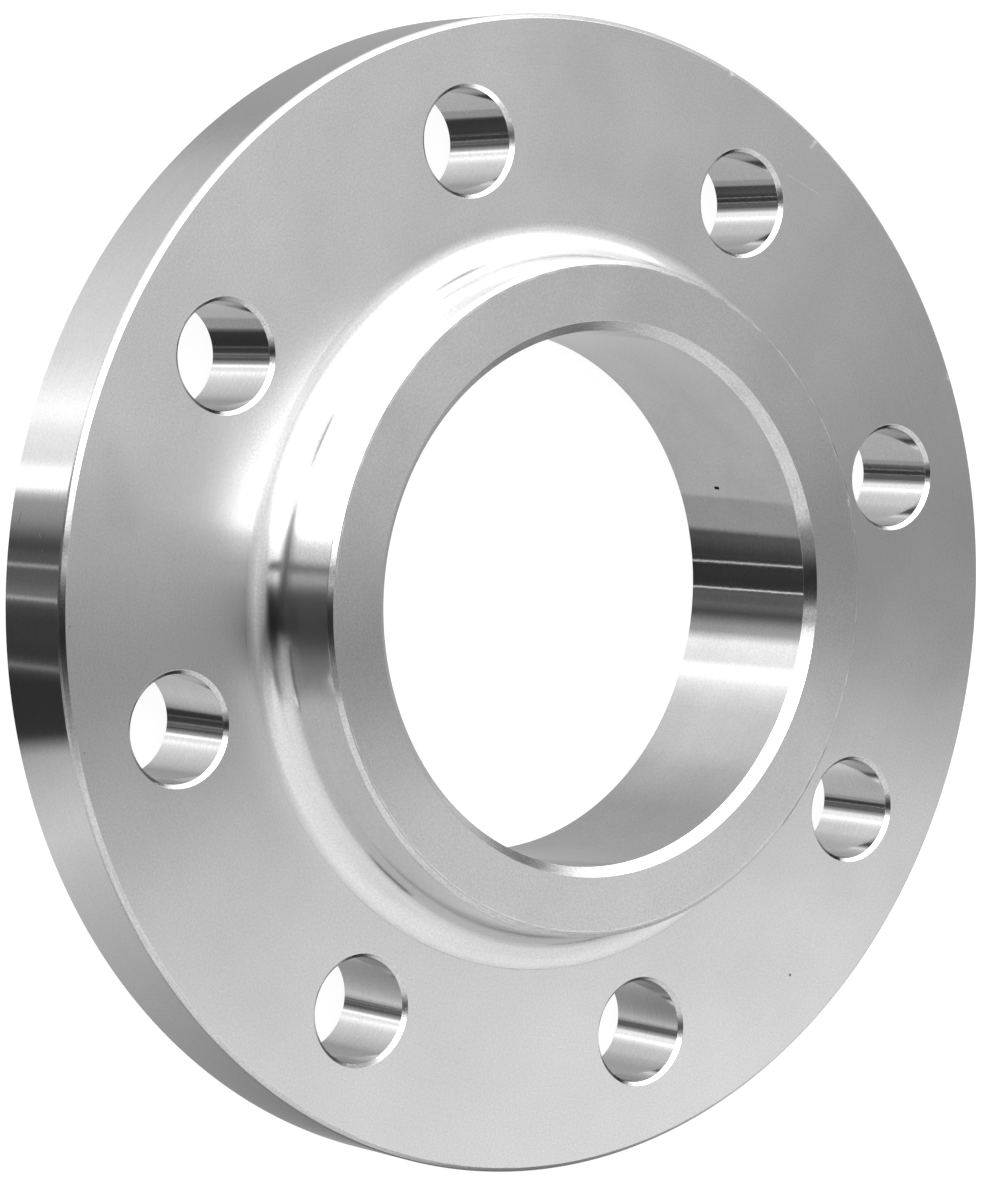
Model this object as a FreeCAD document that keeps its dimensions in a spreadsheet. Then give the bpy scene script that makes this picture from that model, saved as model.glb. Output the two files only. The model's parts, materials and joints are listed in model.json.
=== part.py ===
import FreeCAD, Part
import math
import os
import Sketcher

# A slip-on pipe flange with a hub, turned from one forging and drilled for its bolts.
# The origin is the centre of the raised sealing face, and +Z runs along the bore to the hub end.
# Lengths are in millimetres.

LABEL = "slip_on_flange"

# Every driving size, with what it measures. The radial sizes add up outwards from the bore,
# and the heights add up from the sealing face.
DIMENSIONS = (
    ("pipe_diameter", 88.9, "outside diameter of the pipe that slips into the bore"),
    ("pipe_clearance", 2.6, "bore diameter less pipe diameter"),
    ("hub_wall", 11.95, "wall of the hub at its free end"),
    ("hub_flare", 1.3, "how much wider in radius the tapered hub is at its base"),
    ("root_radius", 6.0, "fillet between hub and plate"),
    ("seat_width", 6.0, "flat that a washer needs on each side of a bolt hole"),
    ("bolt_diameter", 16.0, "nominal diameter of the bolts"),
    ("bolt_clearance", 2.0, "bolt hole diameter less bolt diameter"),
    ("bolt_count", 8, "bolt holes, evenly spaced and clear of the main axes"),
    ("rim_width", 11.0, "metal between the bolt holes and the rim"),
    ("sealing_margin", 2.0, "how far the raised face stays inside the bolt holes"),
    ("sealing_height", 2.0, "height of the raised sealing face"),
    ("plate_thickness", 18.0, "plate without the raised face"),
    ("hub_height", 14.0, "hub above the plate"),
    ("bore_chamfer", 1.7, "both ends of the bore"),
    ("hub_chamfer", 0.7, "outer edge of the hub end"),
    ("rim_chamfer", 0.85, "both edges of the rim"),
    ("sealing_chamfer", 0.5, "outer edge of the raised face"),
    ("hole_chamfer", 0.7, "bolt holes on the hub side"),
    ("hole_break", 0.4, "bolt holes on the sealing side"),
)

# What follows from the driving sizes, as expressions on the spreadsheet.
BORE_RADIUS = "(Dimensions.pipe_diameter + Dimensions.pipe_clearance) / 2"
HOLE_RADIUS = "(Dimensions.bolt_diameter + Dimensions.bolt_clearance) / 2"
HUB_END_RADIUS = f"{BORE_RADIUS} + Dimensions.hub_wall"
HUB_BASE_RADIUS = f"{HUB_END_RADIUS} + Dimensions.hub_flare"
HOLE_INNER_RADIUS = f"{HUB_BASE_RADIUS} + Dimensions.root_radius + Dimensions.seat_width"
SEALING_RADIUS = f"{HOLE_INNER_RADIUS} - Dimensions.sealing_margin"
BOLT_CIRCLE_RADIUS = f"{HOLE_INNER_RADIUS} + {HOLE_RADIUS}"
RIM_RADIUS = f"{BOLT_CIRCLE_RADIUS} + {HOLE_RADIUS} + Dimensions.rim_width"
PLATE_BACK = "Dimensions.sealing_height"
PLATE_FRONT = f"{PLATE_BACK} + Dimensions.plate_thickness"
HUB_END = f"{PLATE_FRONT} + Dimensions.hub_height"
FIRST_HOLE_ANGLE = "180 deg / Dimensions.bolt_count"


def add_dimensions(doc):
    """Write the driving sizes into a spreadsheet, one alias a row."""
    sheet = doc.addObject("Spreadsheet::Sheet", "Dimensions")
    for row, (alias, value, meaning) in enumerate(DIMENSIONS, start=1):
        sheet.set(f"A{row}", str(value))
        sheet.setAlias(f"A{row}", alias)
        sheet.set(f"B{row}", meaning)
    doc.recompute()
    return sheet


def origin_plane(body, role):
    """The origin plane of the body that has this role, such as XZ_Plane."""
    return next(plane for plane in body.Origin.OriginFeatures if plane.Role == role)


def add_sketch(body, name, role):
    """A sketch on one of the body's origin planes."""
    sketch = body.newObject("Sketcher::SketchObject", name)
    sketch.AttachmentSupport = [(origin_plane(body, role), "")]
    sketch.MapMode = "FlatFace"
    return sketch


def bind(sketch, name, constraint, expression):
    """Add a dimension to a sketch under a name and tie it to the spreadsheet."""
    sketch.addConstraint(constraint)
    sketch.renameConstraint(sketch.ConstraintCount - 1, name)
    sketch.setExpression(f"Constraints.{name}", expression)


def add_section(body, size):
    """Half of the turned section with sharp corners, to the right of the bore's axis."""
    bore, end, base = size(BORE_RADIUS), size(HUB_END_RADIUS), size(HUB_BASE_RADIUS)
    sealing, rim = size(SEALING_RADIUS), size(RIM_RADIUS)
    back, front, top = size(PLATE_BACK), size(PLATE_FRONT), size(HUB_END)
    corners = [(bore, 0), (sealing, 0), (sealing, back), (rim, back),
               (rim, front), (base, front), (end, top), (bore, top)]
    sealing_face, sealing_edge, plate_back, rim_face, plate_front, hub_wall, hub_end, bore_wall = range(8)

    sketch = add_sketch(body, "TurnedSection", "XZ_Plane")
    points = [FreeCAD.Vector(radius, height, 0) for radius, height in corners]
    for start, finish in zip(points, points[1:] + points[:1]):
        sketch.addGeometry(Part.LineSegment(start, finish), False)
    for line in range(len(points)):
        sketch.addConstraint(Sketcher.Constraint("Coincident", line, 2, (line + 1) % len(points), 1))
    for line in (sealing_face, plate_back, plate_front, hub_end):
        sketch.addConstraint(Sketcher.Constraint("Horizontal", line))
    for line in (sealing_edge, rim_face, bore_wall):
        sketch.addConstraint(Sketcher.Constraint("Vertical", line))
    sketch.addConstraint(Sketcher.Constraint("PointOnObject", sealing_face, 1, -1))

    radii = (
        ("bore_radius", bore_wall, BORE_RADIUS),
        ("sealing_radius", sealing_edge, SEALING_RADIUS),
        ("rim_radius", rim_face, RIM_RADIUS),
        ("hub_base_radius", hub_wall, HUB_BASE_RADIUS),
        ("hub_end_radius", hub_end, HUB_END_RADIUS),
    )
    for name, line, expression in radii:
        dimension = Sketcher.Constraint("DistanceX", -1, 1, line, 1, size(expression))
        bind(sketch, name, dimension, expression)
    heights = (
        ("plate_back", plate_back, PLATE_BACK),
        ("plate_front", plate_front, PLATE_FRONT),
        ("hub_end", hub_end, HUB_END),
    )
    for name, line, expression in heights:
        dimension = Sketcher.Constraint("DistanceY", -1, 1, line, 1, size(expression))
        bind(sketch, name, dimension, expression)
    return sketch


def circles_at(shape, radius, height):
    """Names of the round edges with this radius that lie flat at this height."""
    names = []
    for number, edge in enumerate(shape.Edges, start=1):
        curve = edge.Curve
        if not isinstance(curve, Part.Circle):
            continue
        if math.isclose(curve.Radius, radius, abs_tol=1e-6) and math.isclose(curve.Center.z, height, abs_tol=1e-6):
            names.append(f"Edge{number}")
    return names


def dress(body, kind, name, property_name, expression, places):
    """A fillet or chamfer, tied to the spreadsheet, on the round edges at (radius, height) places."""
    base = body.Tip
    feature = body.newObject(f"PartDesign::{kind}", name)
    edges = [edge for radius, height in places for edge in circles_at(base.Shape, radius, height)]
    feature.Base = (base, edges)
    feature.setExpression(property_name, expression)
    body.Tip = feature
    body.Document.recompute()
    return feature


def add_bolt_holes(body, size):
    """One drilled hole, repeated round the bolt circle."""
    sketch = add_sketch(body, "BoltCircle", "XY_Plane")
    sketch.setExpression(".AttachmentOffset.Base.z", PLATE_FRONT)
    reach, angle = size(BOLT_CIRCLE_RADIUS), size(FIRST_HOLE_ANGLE)
    centre = FreeCAD.Vector(reach, 0, 0)
    centre = FreeCAD.Rotation(FreeCAD.Vector(0, 0, 1), angle).multVec(centre)
    spoke = sketch.addGeometry(Part.LineSegment(FreeCAD.Vector(0, 0, 0), centre), True)
    drill = sketch.addGeometry(Part.Circle(centre, FreeCAD.Vector(0, 0, 1), size(HOLE_RADIUS)), False)
    sketch.addConstraint(Sketcher.Constraint("Coincident", spoke, 1, -1, 1))
    sketch.addConstraint(Sketcher.Constraint("Coincident", spoke, 2, drill, 3))
    bind(sketch, "reach", Sketcher.Constraint("Distance", spoke, reach), BOLT_CIRCLE_RADIUS)
    bind(sketch, "angle", Sketcher.Constraint("Angle", spoke, math.radians(angle)), FIRST_HOLE_ANGLE)
    bind(sketch, "radius", Sketcher.Constraint("Radius", drill, size(HOLE_RADIUS)), HOLE_RADIUS)
    body.Document.recompute()

    hole = body.newObject("PartDesign::Hole", "BoltHole")
    hole.Profile = sketch
    body.Document.recompute()
    hole.Threaded = False
    hole.DepthType = "ThroughAll"
    hole.setExpression("Diameter", f"2 * ({HOLE_RADIUS})")
    body.Document.recompute()

    pattern = body.newObject("PartDesign::PolarPattern", "BoltHoles")
    pattern.Originals = [hole]
    pattern.Axis = (sketch, ["N_Axis"])
    pattern.Angle = 360
    pattern.setExpression("Occurrences", "Dimensions.bolt_count")
    body.Tip = pattern
    body.Document.recompute()
    return pattern


def build(doc):
    """The flange as one body: turn the section, soften its edges, drill it and deburr the holes."""
    sheet = add_dimensions(doc)

    def size(expression):
        value = sheet.evalExpression(expression)
        return float(getattr(value, "Value", value))

    body = doc.addObject("PartDesign::Body", "Flange")
    body.Label = LABEL
    section = add_section(body, size)
    turned = body.newObject("PartDesign::Revolution", "Turned")
    turned.Profile = section
    turned.ReferenceAxis = (section, ["V_Axis"])
    turned.Angle = 360
    doc.recompute()

    bore, hole = size(BORE_RADIUS), size(HOLE_RADIUS)
    back, front, top = size(PLATE_BACK), size(PLATE_FRONT), size(HUB_END)
    dress(body, "Fillet", "HubRoot", "Radius", "Dimensions.root_radius", [(size(HUB_BASE_RADIUS), front)])
    dress(body, "Chamfer", "BoreEnds", "Size", "Dimensions.bore_chamfer", [(bore, 0), (bore, top)])
    dress(body, "Chamfer", "HubEdge", "Size", "Dimensions.hub_chamfer", [(size(HUB_END_RADIUS), top)])
    dress(body, "Chamfer", "RimEdges", "Size", "Dimensions.rim_chamfer",
          [(size(RIM_RADIUS), back), (size(RIM_RADIUS), front)])
    dress(body, "Chamfer", "SealingEdge", "Size", "Dimensions.sealing_chamfer", [(size(SEALING_RADIUS), 0)])

    solid_volume = body.Shape.Volume
    add_bolt_holes(body, size)
    drilled = size("Dimensions.bolt_count") * math.pi * hole ** 2 * (front - back)
    if not math.isclose(solid_volume - body.Shape.Volume, drilled, rel_tol=1e-6):
        raise RuntimeError("the bolt holes do not all go through the plate")

    dress(body, "Chamfer", "HoleFronts", "Size", "Dimensions.hole_chamfer", [(hole, front)])
    dress(body, "Chamfer", "HoleBacks", "Size", "Dimensions.hole_break", [(hole, back)])
    return body


def check(doc, body):
    """Refuse a document with a failed feature or a flange that is not one sound solid."""
    for item in doc.Objects:
        if "Invalid" in item.State or "Error" in item.State:
            raise RuntimeError(f"{item.Name} failed: {item.State}")
    shape = body.Shape
    if shape.isNull() or not shape.isValid() or len(shape.Solids) != 1:
        raise RuntimeError(f"{body.Label} is not one valid solid")


document = FreeCAD.newDocument("SlipOnFlange")
flange = build(document)
check(document, flange)
os.makedirs("parts", exist_ok=True)
flange.Shape.exportStep(f"parts/{flange.Label}.step")
extent = flange.Shape.BoundBox
print(f"{flange.Label}: {extent.XLength:.2f} x {extent.YLength:.2f} x {extent.ZLength:.2f} mm,")
print(f"volume {flange.Shape.Volume / 1000:.2f} cm3, {len(flange.Shape.Faces)} faces")
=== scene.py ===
# %% [markdown]
# # A turned steel pipe flange
#
# The object is one piece of stainless steel: a round plate with a short hub, a bore for a pipe and a ring of bolt
# holes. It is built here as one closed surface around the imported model, dressed with the finishes that a lathe, a
# boring bar and a drill leave, and lit by a plain photographer's tent. Lengths are in metres, and +Z points up
# along the bore.

# %% Load the frame
import json
import math

import bpy
import numpy as np
from mathutils import Matrix, Vector


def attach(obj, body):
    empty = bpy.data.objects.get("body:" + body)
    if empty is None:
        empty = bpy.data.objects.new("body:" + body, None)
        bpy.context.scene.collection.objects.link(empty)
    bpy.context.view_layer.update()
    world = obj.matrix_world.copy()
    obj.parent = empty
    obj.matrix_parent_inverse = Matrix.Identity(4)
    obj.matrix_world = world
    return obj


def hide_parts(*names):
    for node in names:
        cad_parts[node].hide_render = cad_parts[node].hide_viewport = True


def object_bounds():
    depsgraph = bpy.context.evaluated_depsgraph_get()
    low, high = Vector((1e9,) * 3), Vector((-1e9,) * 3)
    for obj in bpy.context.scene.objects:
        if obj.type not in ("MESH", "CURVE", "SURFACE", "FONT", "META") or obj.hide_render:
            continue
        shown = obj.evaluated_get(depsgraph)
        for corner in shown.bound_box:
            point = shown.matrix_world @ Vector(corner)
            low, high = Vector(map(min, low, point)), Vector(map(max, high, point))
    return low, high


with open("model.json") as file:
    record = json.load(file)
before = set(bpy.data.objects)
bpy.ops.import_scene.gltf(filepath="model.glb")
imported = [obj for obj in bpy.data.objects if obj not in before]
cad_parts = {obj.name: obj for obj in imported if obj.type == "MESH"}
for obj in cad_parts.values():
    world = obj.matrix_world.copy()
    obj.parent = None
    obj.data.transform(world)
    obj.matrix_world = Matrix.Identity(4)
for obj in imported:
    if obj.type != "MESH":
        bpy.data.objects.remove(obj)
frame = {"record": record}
cad_low, cad_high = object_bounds()
NODE = "slip_on_flange"
MM = 0.001
print("CAD box in mm:", [round(c / MM, 2) for c in (*cad_low, *cad_high)])

# %% [markdown]
# ## Sizes
#
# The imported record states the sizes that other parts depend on, so the bore and the bolt circle are read from its
# mounts, and the outside comes from the model's box. Chamfers and the hub's taper are not interfaces, so they are
# named here at the size the solid has.

# %% Read the interfaces and name the rest
mounts = {mount["name"]: mount for mount in frame["record"]["mounts"]}
RIM_RADIUS = cad_high.x
HUB_TOP = cad_high.z
BORE_RADIUS = mounts["pipe_bore"]["dims"]["r_mm"] * MM
HOLE_RADIUS = mounts["bolt_holes"]["dims"]["hole_r_mm"] * MM
BOLT_CIRCLE_RADIUS = mounts["bolt_holes"]["dims"]["pcd_mm"] * MM / 2
HOLE_COUNT = mounts["bolt_holes"]["dims"]["count"]
PLATE_BACK = mounts["bolt_holes"]["pos_m"][2]
PLATE_FRONT = mounts["nut_face"]["pos_m"][2]

HUB_END_RADIUS = 57.7 * MM
HUB_BASE_RADIUS = 59.0 * MM
ROOT_RADIUS = 6.0 * MM
SEALING_RADIUS = 69.0 * MM
BORE_CHAMFER = 1.7 * MM
HUB_CHAMFER = 0.7 * MM
RIM_CHAMFER = 0.85 * MM
SEALING_CHAMFER = 0.5 * MM
HOLE_CHAMFER = 0.7 * MM
HOLE_BREAK = 0.4 * MM
print(f"radii in mm: rim {RIM_RADIUS / MM:.1f}, bore {BORE_RADIUS / MM:.2f}, {HOLE_COUNT} holes", HOLE_RADIUS / MM)

# %% [markdown]
# ## Camera
#
# A flange seen in three-quarter view shows its rim on one side and its bore on the other. The camera's place was
# worked out from the ellipses of the rim, hub and holes. It is written as a photographer would say it: where it
# aims, from what side and height, how far off, and how much it is rolled. The roll stands the flange up in the
# picture while it lies flat on its sealing face.

# %% Place the camera
AIM = Vector((0.57, -12.43, 20.0)) * MM
CAMERA_AZIMUTH = math.radians(-86.831)
CAMERA_ELEVATION = math.radians(52.616)
CAMERA_DISTANCE = 745.69 * MM
CAMERA_ROLL = math.radians(94.529)
FOCAL_LENGTH = 132.9

towards_camera = Vector((
    math.cos(CAMERA_AZIMUTH) * math.cos(CAMERA_ELEVATION),
    math.sin(CAMERA_AZIMUTH) * math.cos(CAMERA_ELEVATION),
    math.sin(CAMERA_ELEVATION),
))
camera = bpy.data.objects.new("camera", bpy.data.cameras.new("camera"))
camera.data.lens = FOCAL_LENGTH
camera.location = AIM + towards_camera * CAMERA_DISTANCE
level = towards_camera.to_track_quat("Z", "Y").to_matrix()
camera.rotation_euler = (level @ Matrix.Rotation(CAMERA_ROLL, 3, "Z")).to_euler()
bpy.context.scene.collection.objects.link(camera)
bpy.context.scene.camera = camera
print("camera at", [round(c, 4) for c in camera.location])

# %% [markdown]
# ## The turned section
#
# A lathe gives every surface of the flange except the bolt holes, so the shape is a section carried round the axis.
# The section is a list of corners. Each corner is rounded by an arc that touches both of its sides: six millimetres
# where the hub meets the plate, and a tenth of a millimetre on most edges, because no machined edge is perfectly
# sharp and the thin bright line along it comes from that tiny round. The rim's edge has been rubbed softer on the
# outside than on the face, so its two rounds differ.
#
# An arc knows its own direction at every point, so the surface normals are exact and need no extra rings of faces.
# Each stretch of the section also carries the name of its finish, so that the faces need no sorting afterwards.

# %% A section line with rounded corners
EDGE_ROUND = 0.12 * MM
SOFT_ROUND = 0.25 * MM
RUBBED_ROUND = 0.8 * MM
ARC_POINTS = 3
ARC_POINTS_PER_MM = 2
ROOT_ARC_POINTS = 10


def rounded_line(stations):
    """Points, outward normals and finishes of a line through stations, rounded at its corners.

    A station is a corner (r, z), the radius of its round, and the finish and number of pieces of the side that
    follows. At a corner the line turns by an angle a, so an arc of radius r touches both sides at r tan(a / 2) from
    the corner. A point on the arc is its centre plus r times a direction that turns evenly from one side's normal
    to the other's. The outward side is the right-hand side of the way the line runs. A wider round gets more
    points, and a corner without a round has one. The one wide arc is the hub's root, and all others are edges.
    """
    corners = np.array([station[:2] for station in stations])
    sides = np.diff(corners, axis=0)
    sides /= np.linalg.norm(sides, axis=1, keepdims=True)
    outward = np.stack([sides[:, 1], -sides[:, 0]], axis=1)
    arcs = [(corners[:1], outward[:1])]
    for before, after, normal, corner, station in zip(sides, sides[1:], outward, corners[1:], stations[1:]):
        turn = math.atan2(before[0] * after[1] - before[1] * after[0], before @ after)
        bend = station[2] if turn > 0 else -station[2]
        steps = ARC_POINTS + int(ARC_POINTS_PER_MM * station[2] / MM) if station[2] else 1
        swing = np.linspace(0, turn, steps)[:, None]
        swung = np.cos(swing) * normal + np.sin(swing) * np.array([-normal[1], normal[0]])
        centre = corner - before * bend * math.tan(turn / 2) - bend * normal
        arcs.append((centre + bend * swung, swung))
    arcs.append((corners[-1:], outward[-1:]))

    points, normals, finishes = [arcs[0][0]], [arcs[0][1]], []
    for (start, _), (arc, swung), station, normal in zip(arcs, arcs[1:], stations, outward):
        finish, pieces = station[3:]
        t = np.linspace(0, 1, pieces + 1)[1:-1, None]
        points += [(1 - t) * start[-1] + t * arc[0], arc]
        normals += [np.broadcast_to(normal, (pieces - 1, 2)), swung]
        bend_finish = "root" if len(arc) >= ROOT_ARC_POINTS else "edge"
        finishes += [finish] * pieces + [bend_finish] * (len(arc) - 1)
    return np.concatenate(points), np.concatenate(normals), finishes


# %% [markdown]
# The sealing face carries the fine concentric grooves that bite into a gasket. They are a cosine wave cut into the
# flat, a twentieth of a millimetre deep.

# %% The grooves of the sealing face
GROOVE_PITCH = 1.6 * MM
GROOVE_DEPTH = 0.05 * MM
GROOVE_MARGIN = 1.5 * MM
SAMPLES_PER_GROOVE = 3


def grooved_face(inner, outer):
    """Points and outward normals of z = depth (1 - cos(2 pi (r - r0) / pitch)) / 2, facing down."""
    start = inner + GROOVE_MARGIN
    grooves = int((outer - GROOVE_MARGIN - start) / GROOVE_PITCH)
    phase = np.linspace(0, grooves, grooves * SAMPLES_PER_GROOVE + 1)
    height = GROOVE_DEPTH * (1 - np.cos(2 * np.pi * phase)) / 2
    slope = np.pi * GROOVE_DEPTH / GROOVE_PITCH * np.sin(2 * np.pi * phase)
    normals = np.stack([slope, -np.ones_like(slope)], axis=1)
    normals /= np.linalg.norm(normals, axis=1, keepdims=True)
    print(grooves, "sealing grooves")
    return np.stack([start + GROOVE_PITCH * phase, height], axis=1), normals


# %% [markdown]
# The section falls into two lines, because the drilled faces of the plate lie between them. One runs from the plate
# over the hub, down the bore and across the sealing face. The other is the rim. The cut that faced the plate ran a
# little way up the root, so the foot of that arc has the plate's finish.

# %% Lay out the section
SEAT_MARGIN = 3.0 * MM
HUB_TAPER = (HUB_BASE_RADIUS - HUB_END_RADIUS) / (HUB_TOP - PLATE_FRONT)
SEAT_INNER = HUB_BASE_RADIUS + ROOT_RADIUS * math.tan(math.radians(45) - math.atan(HUB_TAPER) / 2)
SEAT_OUTER = RIM_RADIUS - SEAT_MARGIN
BACK_INNER = SEALING_RADIUS + EDGE_ROUND
FINE_STRIP = 0.6 * MM
FAN_INNER = SEAT_INNER + FINE_STRIP
FAN_PIECES = 6
FOOT_PIECES = 2

over_hub = rounded_line([
    (FAN_INNER, PLATE_FRONT, 0, "plate", FAN_PIECES),
    (HUB_BASE_RADIUS, PLATE_FRONT, ROOT_RADIUS, "hub", 2),
    (HUB_END_RADIUS + HUB_CHAMFER * HUB_TAPER, HUB_TOP - HUB_CHAMFER, SOFT_ROUND, "edge", 2),
    (HUB_END_RADIUS - HUB_CHAMFER, HUB_TOP, EDGE_ROUND, "hub_end", 6),
    (HUB_END_RADIUS - HUB_CHAMFER - FINE_STRIP, HUB_TOP, 0, "hub_end", 2),
    (BORE_RADIUS + BORE_CHAMFER, HUB_TOP, EDGE_ROUND, "edge", 2),
    (BORE_RADIUS, HUB_TOP - BORE_CHAMFER, EDGE_ROUND, "bore", 3),
    (BORE_RADIUS, BORE_CHAMFER, EDGE_ROUND, "edge", 1),
    (BORE_RADIUS + BORE_CHAMFER, 0, EDGE_ROUND, "sealing", 1),
    (BORE_RADIUS + BORE_CHAMFER + GROOVE_MARGIN, 0, 0, "sealing", 1),
])
sealing = grooved_face(BORE_RADIUS + BORE_CHAMFER, SEALING_RADIUS - SEALING_CHAMFER)
down_step = rounded_line([
    (*sealing[0][-1], 0, "sealing", 1),
    (SEALING_RADIUS - SEALING_CHAMFER, 0, EDGE_ROUND, "edge", 1),
    (SEALING_RADIUS, SEALING_CHAMFER, EDGE_ROUND, "edge", 1),
    (SEALING_RADIUS, PLATE_BACK, EDGE_ROUND, "back", 1),
    (BACK_INNER, PLATE_BACK, 0, "back", 1),
])
inner_line = np.concatenate([over_hub[0][:-1], sealing[0], down_step[0][1:-1]])
inner_normals = np.concatenate([over_hub[1][:-1], sealing[1], down_step[1][1:-1]])
over_hub[2][FAN_PIECES:FAN_PIECES + FOOT_PIECES] = ["plate"] * FOOT_PIECES
inner_finishes = over_hub[2] + ["sealing"] * (len(sealing[0]) - 1) + down_step[2][:-1]

rim_line, rim_normals, rim_finishes = rounded_line([
    (SEAT_OUTER, PLATE_BACK, 0, "back", 1),
    (RIM_RADIUS - RIM_CHAMFER, PLATE_BACK, EDGE_ROUND, "edge", 1),
    (RIM_RADIUS, PLATE_BACK + RIM_CHAMFER, EDGE_ROUND, "rim", 2),
    (RIM_RADIUS, PLATE_FRONT - RIM_CHAMFER, RUBBED_ROUND, "edge", 2),
    (RIM_RADIUS - RIM_CHAMFER, PLATE_FRONT, SOFT_ROUND, "plate", 4),
    (RIM_RADIUS - RIM_CHAMFER - FINE_STRIP, PLATE_FRONT, 0, "plate", 1),
    (SEAT_OUTER, PLATE_FRONT, 0, "plate", 1),
])
print(len(inner_line), "rings inside,", len(rim_line), "round the rim")

# %% [markdown]
# ## Carrying the section round
#
# A ring of points at every place of the section gives a grid. Each bolt hole's sector takes the same number of
# steps, so that the drilled plate can share its points. Within a sector the steps crowd together near the few nicks
# that the flange has picked up on its edges, which gives a nick enough points to have a shape.

# %% Share the steps round
SECTOR_STEPS = 64
NICK_ANGLES = np.radians([114.3, 120.9, 152.5, 165.7])
NICK_CROWDING = 5.0
NICK_REACH = math.radians(0.9)
CROWDING_SAMPLES = 4001


def sector_angles(start):
    """Angles of one sector, evenly spread in the integral of 1 + crowding exp(-(angle / reach)^2) at each nick."""
    fine = np.linspace(start, start + 2 * np.pi / HOLE_COUNT, CROWDING_SAMPLES)
    density = 1 + NICK_CROWDING * np.exp(-((fine[:, None] - NICK_ANGLES) / NICK_REACH) ** 2).sum(axis=1)
    share = np.concatenate([[0], np.cumsum((density[1:] + density[:-1]) / 2)])
    return np.interp(np.linspace(0, share[-1], SECTOR_STEPS + 1), share, fine)


sector_starts = np.arange(HOLE_COUNT) * 2 * np.pi / HOLE_COUNT
all_angles = np.array([sector_angles(start) for start in sector_starts])
turn_angles = all_angles[:, :-1].ravel()


def revolved(line, normals, angles):
    """Points (r cos a, r sin a, z) and normals (nr cos a, nr sin a, nz) for every place of the line and angle a."""
    around = np.stack([np.cos(angles), np.sin(angles)], axis=-1)

    def carry(pairs):
        flat = pairs[:, None, :1] * around[None]
        return np.concatenate([flat, np.broadcast_to(pairs[:, None, 1:], flat.shape[:2] + (1,))], axis=-1)

    return carry(line), carry(normals)


inner_grid = (*revolved(inner_line, inner_normals, turn_angles), inner_finishes)
rim_grid = (*revolved(rim_line, rim_normals, turn_angles), rim_finishes)
print("grids of", inner_grid[0].shape[:2], "and", rim_grid[0].shape[:2], "points")

# %% [markdown]
# ## The drilled plate
#
# Each hole sits in the middle of one sector of the plate. The surface around it is a fan of straight lines from the
# sector's outline to the hole's edge, which stays perfectly flat. The same lines then run over the chamfer, through
# the hole and out on the back, so a sector's front, hole and back are one grid with no seam.

# %% Build one sector around its hole
SIDE_STEPS = 20
FAN_STEPS = 3
hole_line, hole_normals, hole_finishes = rounded_line([
    (HOLE_RADIUS + HOLE_CHAMFER + EDGE_ROUND, PLATE_FRONT, 0, "plate", 1),
    (HOLE_RADIUS + HOLE_CHAMFER, PLATE_FRONT, EDGE_ROUND, "edge", 1),
    (HOLE_RADIUS, PLATE_FRONT - HOLE_CHAMFER, EDGE_ROUND, "hole", 2),
    (HOLE_RADIUS, PLATE_BACK + HOLE_BREAK, EDGE_ROUND, "edge", 1),
    (HOLE_RADIUS + HOLE_BREAK, PLATE_BACK, EDGE_ROUND, "back", 1),
    (HOLE_RADIUS + HOLE_BREAK + EDGE_ROUND, PLATE_BACK, 0, "back", 1),
])


def sector_outline(inner, outer, angles):
    """The closed outline of one sector in x and y, counter-clockwise from its outer corner."""
    side = np.linspace(outer, inner, SIDE_STEPS, endpoint=False)
    radius = np.concatenate([
        np.full(SECTOR_STEPS, outer), side, np.full(SECTOR_STEPS, inner), side[::-1] + inner - side[-1]])
    angle = np.concatenate([
        angles[:-1], np.full(SIDE_STEPS, angles[-1]), angles[:0:-1], np.full(SIDE_STEPS, angles[0])])
    return np.stack([radius * np.cos(angle), radius * np.sin(angle)], axis=1)


def fan(outline, edge, height, facing):
    """Flat rows p = (1 - t) outline + t edge, and their normals straight up or down."""
    t = np.linspace(0, 1, FAN_STEPS, endpoint=False)[:, None, None]
    flat = (1 - t) * outline + t * edge
    normals = np.zeros(flat.shape[:2] + (3,))
    normals[..., 2] = facing
    return np.concatenate([flat, np.full(flat.shape[:2] + (1,), height)], axis=-1), normals


def drilled_sector(angles):
    """One sector's grid: front outline, fan, chamfered hole, fan and back outline."""
    middle = (angles[0] + angles[-1]) / 2
    centre = BOLT_CIRCLE_RADIUS * np.array([math.cos(middle), math.sin(middle)])
    front_outline = sector_outline(FAN_INNER, SEAT_OUTER, angles)
    back_outline = sector_outline(BACK_INNER, SEAT_OUTER, angles)
    spokes = front_outline - centre
    hole, swung = revolved(hole_line, hole_normals, np.arctan2(spokes[:, 1], spokes[:, 0]))
    hole[..., :2] += centre
    front, front_normals = fan(front_outline, hole[0, :, :2], PLATE_FRONT, 1)
    back, back_normals = fan(back_outline, hole[-1, :, :2], PLATE_BACK, -1)
    finishes = ["plate"] * FAN_STEPS + hole_finishes + ["back"] * FAN_STEPS
    return (np.concatenate([front, hole, back[::-1]]),
            np.concatenate([front_normals, swung, back_normals[::-1]]), finishes)


sectors = [drilled_sector(angles) for angles in all_angles]
print(len(sectors), "sectors of", sectors[0][0].shape[:2], "points")

# %% [markdown]
# ## One closed skin
#
# The grids meet point for point, so they are joined by giving equal points one number. Every grid closes on itself
# round its ring, and its faces are listed so that they look outwards.

# %% Join the grids
FINISHES = ["plate", "back", "rim", "root", "hub", "hub_end", "bore", "edge", "hole", "sealing"]
WELD = 1e-8


def ring_faces(rows, columns, first):
    """Four corner numbers for every cell of a grid that closes on itself along its columns."""
    row, column = np.meshgrid(np.arange(rows - 1), np.arange(columns), indexing="ij")
    after = (column + 1) % columns
    here, below = row * columns, (row + 1) * columns
    corners = [here + column, here + after, below + after, below + column]
    return np.stack(corners, axis=-1).reshape(-1, 4) + first


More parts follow.
